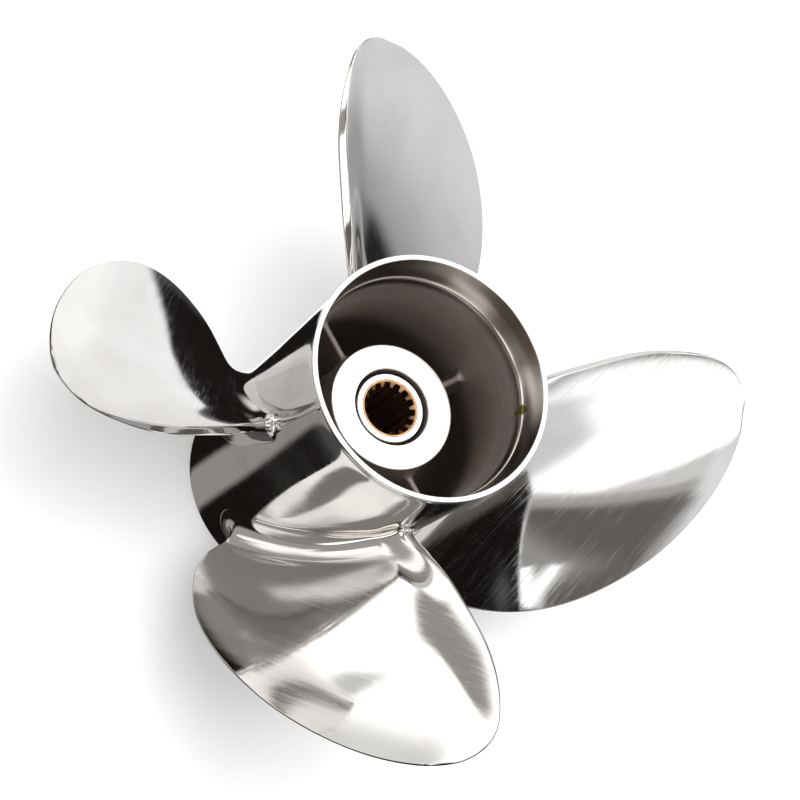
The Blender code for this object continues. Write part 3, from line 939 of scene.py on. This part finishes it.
def mirror_finish(name, coordinate, turn, stroke_depth, scoring, colour, dull_colour):
    """Polished steel. Scoring is the roughness that the buffing strokes add."""
    material, tree, shader = new_material(name, 1.0, POLISH, colour)
    source = add_node(tree, "ShaderNodeTexCoord").outputs[coordinate]
    lined = add_node(tree, "ShaderNodeMapping", [("Vector", source), ("Rotation", (0, 0, -turn))]).outputs[0]
    marks = use_group(tree, strokes, [("Vector", lined), ("Width", STROKE_WIDTH), ("Length", STROKE_LENGTH)])
    handled = use_group(tree, handling, [("Vector", source), ("Size", PATCH_SIZE)])
    rough = math_node(tree, "MULTIPLY_ADD", handled.outputs["Dull"], DULLED, POLISH)
    rough = math_node(tree, "MULTIPLY_ADD", marks.outputs["Scored"], scoring, rough)
    rough = math_node(tree, "MULTIPLY_ADD", handled.outputs["Specks"], SPECKLED, rough)
    tree.links.new(rough, shader.inputs["Roughness"])
    tree.links.new(bump_node(tree, marks.outputs["Height"], stroke_depth), shader.inputs["Normal"])
    tint = mix_colour(tree, handled.outputs["Dull"], (*colour, 1.0), (*dull_colour, 1.0))
    tree.links.new(tint, shader.inputs["Base Color"])
    return material


blade_steel = mirror_finish("polished_steel_blade", "UV", STROKE_ANGLE, BLADE_STROKES, scoring=0.11,
                            colour=(0.72, 0.705, 0.69), dull_colour=(0.67, 0.65, 0.63))
scored_steel = mirror_finish("polished_steel_blade_scored", "UV", STROKE_ANGLE, BLADE_STROKES, scoring=0.17,
                             colour=(0.72, 0.71, 0.70), dull_colour=(0.67, 0.655, 0.64))
# painted shade: the barrel's steel is a darker copy of the blades', which dims its reflections
barrel_steel_painted_shade = mirror_finish("polished_steel_barrel_painted_shade", "Object", 0.0, BARREL_STROKES, scoring=0.12,
                             colour=(0.58, 0.565, 0.55), dull_colour=(0.52, 0.505, 0.49))

# %% [markdown]
# ## Satin stainless inside the barrel
# The inside was blasted and never buffed. It is browner than the outside. Painted shade darkens it down the
# bore and on the flare, and painted light makes a paler band below the flare. Near the mouth it is smoother,
# where a tool has run, and a painted highlight makes the step bright.
# The photograph shows one olive stain there, which is longer down the bore than it is wide.

# %% Material: satin inside
SATIN = (0.50, 0.45, 0.42)
SATIN_DARKER = (0.42, 0.375, 0.35)
SATIN_PATCH_SIZE = 0.05
GRAIN_SCALE = 1800.0               # grains a metre
GRAIN_DEPTH = 0.00002
# painted light: a paler band on the wall below the flare, with dull patches in it
PAINTED_LIGHT_BAND = (0.76, 0.685, 0.63, 1.0)
PAINTED_LIGHT_BAND_DULLED = (0.66, 0.59, 0.54, 1.0)
BAND_FOOT = (0.088, 0.106)         # heights between which the wall turns from its painted shade deep down to its painted light band
BAND_TOP = (0.126, 0.136)          # and from the painted light band to the tone of the mouth
STEP_TONE = (STEP_FOOT_HEIGHT - 0.0040, STEP_FOOT_HEIGHT - 0.0010)    # and from that to the turned step's painted highlight
FLARE_TONE = (STEP_HEIGHT + 0.0005, STEP_HEIGHT + 0.0030)             # and from the step's painted highlight to the flare's painted shade
# painted shade: the wall darker deep down the bore
PAINTED_SHADE_DEEP = (0.30, 0.26, 0.24, 1.0)
# painted shade: the flare darker than the wall's own tone, which dims its reflection
PAINTED_SHADE_FLARE = (0.44, 0.405, 0.37, 1.0)
# painted highlight: the turned step brighter than the wall
PAINTED_HIGHLIGHT_STEP = (0.56, 0.52, 0.47, 1.0)
STAIN_TINT = (0.18, 0.145, 0.035, 1.0)
STAIN_PLACE = (0.0541, 0.0100, 0.1475)
STAIN_SQUEEZE = (1.0, 1.30, 0.52)
STAIN_REACH = (0.0038, 0.0048)     # where it starts to fade, and where it ends
STAIN_RAGGED = 0.0024
TOOL_RUN = (0.026, 0.0195)         # depths below the rim where the blasted wall turns into the smooth one


def satin_finish(name, low_rough, high_rough):
    """Blasted steel, which is smoother where the tool has run."""
    material, tree, shader = new_material(name, 1.0, high_rough, SATIN)
    source, height = object_place(tree)
    handled = use_group(tree, handling, [("Vector", source), ("Size", SATIN_PATCH_SIZE)])
    start, end = (BARREL_LENGTH - depth for depth in TOOL_RUN)
    rough = ramp_node(tree, height, start, end, high_rough, low_rough)
    rough = math_node(tree, "MULTIPLY_ADD", handled.outputs["Dull"], 0.05, rough)
    tint = mix_colour(tree, handled.outputs["Dull"], (*SATIN, 1.0), (*SATIN_DARKER, 1.0))
    tree.links.new(tint, shader.inputs["Base Color"])
    tree.links.new(rough, shader.inputs["Roughness"])
    grain = noise_node(tree, source, GRAIN_SCALE, 3.0)
    tree.links.new(bump_node(tree, grain, GRAIN_DEPTH, 0.6), shader.inputs["Normal"])
    return material


def paint_shade_light_and_stain(material):
    """Paint by height: painted shade deep down and on the flare, a painted light band and a painted highlight
    on the turned step; then lay the stain over them.
    """
    tree = material.node_tree
    shader = tree.nodes["Principled BSDF"]
    source, height = object_place(tree)
    tint, rough = (shader.inputs[name].links[0].from_socket for name in ("Base Color", "Roughness"))
    handled = use_group(tree, handling, [("Vector", source), ("Size", SATIN_PATCH_SIZE)])
    # painted light: the paler band below the flare
    band_of_painted_light = mix_colour(tree, handled.outputs["Dull"], PAINTED_LIGHT_BAND, PAINTED_LIGHT_BAND_DULLED)
    tint = mix_colour(tree, ramp_node(tree, height, *BAND_TOP), band_of_painted_light, tint)
    # painted shade deep down the bore
    tint = mix_colour(tree, ramp_node(tree, height, *BAND_FOOT), PAINTED_SHADE_DEEP, tint)
    # painted shade on the flare
    flare = ramp_node(tree, height, *FLARE_TONE)
    tint = mix_colour(tree, flare, tint, PAINTED_SHADE_FLARE)
    # painted highlight on the turned step
    turned = ramp_node(tree, height, *STEP_TONE)
    turned = math_node(tree, "MULTIPLY", turned, math_node(tree, "SUBTRACT", 1.0, flare))
    tint = mix_colour(tree, turned, tint, PAINTED_HIGHLIGHT_STEP)
    offset = vector_math(tree, "SUBTRACT", source, STAIN_PLACE).outputs[0]
    shape = vector_math(tree, "MULTIPLY", offset, STAIN_SQUEEZE).outputs[0]
    distance = vector_math(tree, "LENGTH", shape).outputs["Value"]
    distance = math_node(tree, "MULTIPLY_ADD", noise_node(tree, source, 420.0, 3.0), STAIN_RAGGED, distance)
    stain = ramp_node(tree, distance, *STAIN_REACH, 1.0, 0.0)
    tree.links.new(mix_colour(tree, stain, tint, STAIN_TINT), shader.inputs["Base Color"])
    tree.links.new(math_node(tree, "MULTIPLY_ADD", stain, 0.25, rough), shader.inputs["Roughness"])


# the inside's satin steel, with painted shade, painted light and a painted highlight by height
inside_steel = satin_finish("satin_steel_inside_painted_shade_and_light", 0.19, 0.56)
paint_shade_light_and_stain(inside_steel)
hub_steel = satin_finish("satin_steel_hub", 0.50, 0.56)

# %% [markdown]
# ## Turned faces
# The end faces of the rim and the inner hub are machined, and so is the sleeve ring. They mirror the bright
# ceiling, with faint rings from the tool.

# %% Material: turned faces
TURNED = (0.80, 0.79, 0.78)
RING_DEPTH = 0.000008


def turned_finish(name, roughness, spacing):
    material, tree, shader = new_material(name, 1.0, roughness, TURNED)
    source = add_node(tree, "ShaderNodeTexCoord").outputs["Object"]
    rings = use_group(tree, turning, [("Vector", source), ("Spacing", spacing)])
    handled = use_group(tree, handling, [("Vector", source), ("Size", 0.02)])
    rough = math_node(tree, "MULTIPLY_ADD", handled.outputs["Dull"], 0.08, roughness)
    tree.links.new(rough, shader.inputs["Roughness"])
    tree.links.new(bump_node(tree, rings.outputs["Height"], RING_DEPTH), shader.inputs["Normal"])
    return material


rim_steel = turned_finish("turned_steel_rim", 0.16, 0.0005)
ring_steel = turned_finish("turned_steel_ring", 0.20, 0.0004)

# %% [markdown]
# ## Brass and rubber
# The sleeve's brass is orange where it was turned and brown down in the bore, where no light and no polish
# reach. The rubber is matt, with the dust that settles in the gap.

# %% Material: brass
BRASS, TARNISHED = (0.74, 0.41, 0.17, 1.0), (0.58, 0.34, 0.18, 1.0)
TOOTH_BRASS, DEEP_BRASS = (0.42, 0.30, 0.21, 1.0), (0.30, 0.16, 0.10, 1.0)
BROWN_DEPTHS = (0.010, 0.0020)         # below the sleeve's end: where the bore is brown, where that starts
WORN_DEPTHS = (0.0012, 0.0004)         # and where the teeth have their own tone, where the end's tone starts
BROACHING = (2500.0, 2500.0, 40.0)     # scores a metre across the teeth, and along them
SCORE_DEPTH = 0.00002

brass_metal, tree, shader = new_material("brass_sleeve", 1.0, 0.3, BRASS[:3])
source, height = object_place(tree)
deep = ramp_node(tree, height, *(SLEEVE_AFT - depth for depth in BROWN_DEPTHS), 1.0, 0.0)
handled = use_group(tree, handling, [("Vector", source), ("Size", 0.006)])
tarnish = mix_colour(tree, handled.outputs["Dull"], BRASS, TARNISHED)
worn = ramp_node(tree, height, *(SLEEVE_AFT - depth for depth in WORN_DEPTHS), 1.0, 0.0)
tooth = mix_colour(tree, worn, tarnish, TOOTH_BRASS)
tree.links.new(mix_colour(tree, deep, tooth, DEEP_BRASS), shader.inputs["Base Color"])
rough = math_node(tree, "MULTIPLY_ADD", handled.outputs["Dull"], 0.12, 0.28)
tree.links.new(math_node(tree, "MULTIPLY_ADD", deep, 0.25, rough), shader.inputs["Roughness"])
broached = add_node(tree, "ShaderNodeMapping", [("Vector", source), ("Scale", BROACHING)]).outputs[0]
scores = noise_node(tree, broached, 1.0, 2.0)
tree.links.new(bump_node(tree, scores, SCORE_DEPTH, 0.7), shader.inputs["Normal"])

# %% Material: rubber
RUBBER, DUSTY = (0.018, 0.017, 0.017, 1.0), (0.05, 0.045, 0.04, 1.0)

rubber, tree, shader = new_material("rubber_bushing", 0.0, 0.75, RUBBER[:3])
handled = use_group(tree, handling, [("Vector", object_place(tree)[0]), ("Size", 0.008)])
tree.links.new(mix_colour(tree, handled.outputs["Dull"], RUBBER, DUSTY), shader.inputs["Base Color"])
rough = math_node(tree, "MULTIPLY_ADD", handled.outputs["Specks"], 0.15, 0.7)
tree.links.new(rough, shader.inputs["Roughness"])

# %% [markdown]
# ## Giving the finishes to the pieces
# A turned piece can carry more than one finish. Its faces are sorted by where they are and which way they
# look: outside, inside, or at the machined end.

# %% Assign the finishes
FACING_AFT = 0.6
END_FACE_DEPTH = 0.001


def dress(obj, materials, choose=None):
    """Give the piece its finishes. Choose picks one for each face."""
    for material in materials:
        obj.data.materials.append(material)
    if choose:
        for face in obj.data.polygons:
            face.material_index = choose(face.center, face.normal)
    print(obj.name, "wears", [material.name for material in materials])


def barrel_finish(centre, normal):
    inward = centre.x * normal.x + centre.y * normal.y < 0
    if centre.z > BARREL_LENGTH - RIM_ROUND:
        return 2
    return 1 if inward else 0


def hub_finish(centre, normal):
    return 1 if normal.z > FACING_AFT and centre.z > HUB_AFT - END_FACE_DEPTH else 0


dress(barrel, [barrel_steel_painted_shade, inside_steel, rim_steel], barrel_finish)
dress(hub, [hub_steel, ring_steel], hub_finish)
dress(ring, [ring_steel])
dress(bushing, [rubber])
dress(brass, [brass_metal])
for piece in ribs:
    dress(piece, [hub_steel])
for piece in blades:
    dress(piece, [scored_steel if piece is blades[3] else blade_steel])

# %% [markdown]
# ## The studio
# Polished metal shows the room more than itself. Here the room is a ring of soft panels around the propeller,
# with dark gaps between them, painted in the world by direction. They were placed so that their reflections
# fall where the photograph shows them: drawn, adjusted by a fit to the photograph's brightness, and changed
# again. A panel is a convex outline in degrees of azimuth and elevation. Each edge of it is one soft step, and
# the steps are multiplied.

# %% Group: one soft edge of a panel
edge_step, given, result = new_group(
    "panel_edge", [("Place", VECTOR, None), ("Line", VECTOR, None)], [("Mask", VALUE)])
side = vector_math(edge_step, "DOT_PRODUCT", given.outputs["Place"], given.outputs["Line"])
edge_step.links.new(ramp_node(edge_step, side.outputs["Value"], -1.0, 1.0), result.inputs["Mask"])

# %% The panels
PANELS = (   # brightness, softness in degrees, tint, corners as (azimuth, elevation) in order
    ("ceiling", 2.0, 5.5, (1.0, 1.0, 1.0), ((-10, 35), (110, 35), (110, 100), (-10, 100))),
    ("left_floor", 0.43, 6.0, (1.0, 0.97, 0.94), ((111, -14), (150, -27), (225, -25), (233, 16), (99, 12))),
    ("left_window", 1.95, 2.3, (1.0, 1.0, 0.99), ((104, 7), (189, 2.5), (194, 60), (104, 60))),
    ("left_curtain", 0.95, 5.4, (1.0, 1.0, 0.99), ((90, 5), (111, 16), (135, 34), (130, 50), (90, 50))),
    ("left_catch", 0.74, 1.2, (1.0, 1.0, 1.0), ((112, 18.5), (122, 20.5), (133, 20.5), (123, 16), (112, 16))),
    ("left_frame", 0.38, 1.4, (1.0, 0.97, 0.93),
     ((147, 33), (145, 18), (152, 12), (162, 5.5), (165, 11.5), (158, 24))),
    ("door_gap", 1.5, 1.5, (1.0, 1.0, 1.0),
     ((160, 2), (176, 3.5), (192, 0.5), (205, -2), (190, -3), (162, -2.5))),
    ("low_lamp", 2.6, 2.5, (1.0, 0.98, 0.95), ((205, 8), (233, 8), (234, 31), (205, 33))),
    ("front_glow", 0.40, 4.7, (1.0, 0.98, 0.96), ((205, 38), (245, 26), (229, 40), (215, 48))),
    ("front_spark", 2.0, 0.7, (1.0, 1.0, 1.0), ((201, 43), (203, 41.5), (218, 42.6), (217, 44))),
    ("low_spark", 2.0, 0.7, (1.0, 1.0, 1.0), ((201, 43.5), (201, 41.5), (216, 39), (217, 40.3))),
    ("front_post", 0.50, 2.1, (1.0, 0.97, 0.93), ((248, 22), (270, 21), (270, 60), (241, 60))),
    ("front_curtain", 0.82, 1.5, (1.0, 0.99, 0.98), ((252, 22), (270, 21), (270, 60), (247, 60))),
    ("front_window", 1.6, 1.2, (1.0, 1.0, 1.0),
     ((250.5, 40), (254, 27), (263, 19), (303, 2.5), (295.5, 32), (286, 62), (270, 62.5), (257.5, 52))),
    ("front_sill", 0.85, 3.2, (1.0, 1.0, 1.0),
     ((256.5, 22), (272, 33), (281, 29), (291, 20.5), (298, 6), (257, 7))),
    ("top_left", 1.0, 1.5, (1.0, 1.0, 1.0), ((200, 51), (301, 65), (300, 100), (200, 100))),
    ("top_front", 1.0, 1.6, (1.0, 1.0, 1.0), ((238, 55.5), (262.5, 57.3), (262, 100), (238, 100))),
    ("right_low", 0.44, 4.0, (0.98, 0.97, 1.0), ((-60, -8), (43, -30), (46, 45), (-60, 45))),
    ("right_corner", 0.02, 3.2, (1.0, 1.0, 1.0), ((1, -6), (24, -14), (34, -31), (0, -32))),
    ("right_wall", 0.93, 10.0, (0.98, 0.97, 1.0), ((-60, 40), (34, -10), (46, -8), (46, 45), (-60, 45))),
    ("back_door", 1.14, 0.7, (1.0, 1.0, 1.0),
     ((40, 10), (44, -8.5), (48, -15), (55, -23.5), (62, -29.5), (72, -32), (75.5, -32), (76, 8))),
    ("back_glow", 1.3, 2.6, (1.0, 1.0, 1.0), ((48, -9), (62, -12), (68, -3), (68, 12), (48, 12))),
    ("back_wall", 1.0, 4.3, (1.0, 0.99, 0.98), ((73, -32), (128, -35), (129, -10), (75, 8))),
    ("floor_near", 0.10, 2.0, (1.0, 0.97, 0.94), ((-300, -100), (300, -100), (300, -66), (-300, -66))),
    ("floor_glow", 0.42, 5.0, (1.0, 0.96, 0.92), ((160, -84), (202, -84), (199, -40), (160, -40))),
    ("floor_gap", 1.6, 2.5, (1.0, 1.0, 1.0), ((50, -64), (74, -64), (74, -50), (50, -50))),
)
WALL = (0.16, 0.15, 0.14, 1.0)
GROUND = (0.012, 0.010, 0.009, 1.0)
SKIRTING = (-12.0, -4.0)    # elevations between which the wall darkens to the ground
BACKDROP = (0.93, 0.93, 0.93, 1.0)
print("panels:", [panel[0] for panel in PANELS])

# %% The bare room, by direction
world = bpy.data.worlds.new("studio")
bpy.context.scene.world = world
world.use_nodes = True
tree = world.node_tree
direction = add_node(tree, "ShaderNodeTexCoord").outputs["Generated"]
split = add_node(tree, "ShaderNodeSeparateXYZ", [("Vector", direction)])
azimuth = math_node(tree, "ARCTAN2", split.outputs["Y"], split.outputs["X"])
azimuth = math_node(tree, "DEGREES", azimuth)
elevation = math_node(tree, "DEGREES", math_node(tree, "ARCSINE", split.outputs["Z"]))
bare_room = mix_colour(tree, ramp_node(tree, elevation, *SKIRTING), GROUND, WALL)


# %% Where a panel is, and which part of the room it reaches
def panel_mask(corners, softness):
    """One inside the outline and nothing outside it, eased over the softness at each edge."""
    middle = sum(corner[0] for corner in corners) / len(corners)
    height = sum(corner[1] for corner in corners) / len(corners)
    around = math_node(tree, "WRAP", math_node(tree, "SUBTRACT", azimuth, middle), 180.0, -180.0)
    spot = add_node(tree, "ShaderNodeCombineXYZ", [("X", around), ("Y", elevation), ("Z", 1.0)]).outputs[0]
    mask = None
    for (a, b), (c, d) in zip(corners, corners[1:] + corners[:1]):
        normal = Vector((b - d, c - a)).normalized()
        reach = -(normal.x * (a - middle) + normal.y * b)
        scale = math.copysign(1.0 / softness, normal.y * height + reach)
        edge_line = (scale * normal.x, scale * normal.y, scale * reach)
        step = use_group(tree, edge_step, [("Place", spot), ("Line", edge_line)]).outputs[0]
        mask = step if mask is None else math_node(tree, "MULTIPLY", mask, step)
    return mask


def reaches(corners, softness, low, high):
    """Whether a panel with its soft edges comes into the part of the room between two azimuths."""
    start = min(corner[0] for corner in corners) - 2 * softness
    end = max(corner[0] for corner in corners) + 2 * softness
    return any(start + turn < high and end + turn > low for turn in (-360, 0, 360))


# %% [markdown]
# ## Shading the room in sectors
# Every reflected ray asks the world for its colour, and 26 panels are a long sum for each of them. So the
# room is cut into sectors of azimuth, and each sector works out only the panels that reach into it. What the
# camera sees directly is a plain pale backdrop.

# %% World
SECTOR = 45                 # degrees

shading = None
for low in range(-180, 180, SECTOR):
    room = bare_room
    for name, brightness, softness, tint, corners in PANELS:
        if reaches(corners, softness, low, low + SECTOR):
            light = (*(brightness * part for part in tint), 1.0)
            room = mix_colour(tree, panel_mask(corners, softness), room, light)
            room.node.label = name
    sector = add_node(tree, "ShaderNodeBackground", [("Color", room)]).outputs[0]
    if shading is None:
        shading = sector
    else:
        past = math_node(tree, "GREATER_THAN", azimuth, float(low))
        shading = add_node(tree, "ShaderNodeMixShader", [(0, past), (1, shading), (2, sector)]).outputs[0]
camera_ray = add_node(tree, "ShaderNodeLightPath").outputs["Is Camera Ray"]
backdrop = add_node(tree, "ShaderNodeBackground", [("Color", BACKDROP)]).outputs[0]
seen = add_node(tree, "ShaderNodeMixShader", [(0, camera_ray), (1, shading), (2, backdrop)]).outputs[0]
tree.links.new(seen, tree.nodes["World Output"].inputs["Surface"])
print("nodes of the world:", len(tree.nodes))

# %% [markdown]
# ## Floor and lamp
# The photograph shows only a soft shadow on a pale ground. A matt floor takes the shadow of one wide lamp
# overhead. Neither is seen in the metal, which mirrors only the painted room and the propeller itself.

# %% Floor and the light on it
FLOOR_REACH = 6.0     # from the middle to each side
LAMP_SIZE = 2.4
LAMP_POWER = 60.0
LAMP_HEIGHT = 2.6

floor_builder = bmesh.new()
bmesh.ops.create_grid(floor_builder, x_segments=1, y_segments=1, size=FLOOR_REACH)
floor_mesh = bpy.data.meshes.new("floor")
floor_builder.to_mesh(floor_mesh)
floor_builder.free()
floor = bpy.data.objects.new("floor", floor_mesh)
bpy.context.scene.collection.objects.link(floor)
floor.visible_glossy = False
floor_mesh.materials.append(new_material("pale_floor", 0.0, 0.9, (0.88, 0.88, 0.88))[0])

overhead_data = bpy.data.lights.new("overhead", "AREA")
overhead_data.shape = "SQUARE"
overhead_data.size = LAMP_SIZE
overhead_data.energy = LAMP_POWER
overhead = bpy.data.objects.new("overhead", overhead_data)
overhead.location = (0.0, 0.0, LAMP_HEIGHT)
overhead.visible_glossy = False
overhead.visible_camera = False
bpy.context.scene.collection.objects.link(overhead)
bpy.context.scene.view_settings.view_transform = "Standard"
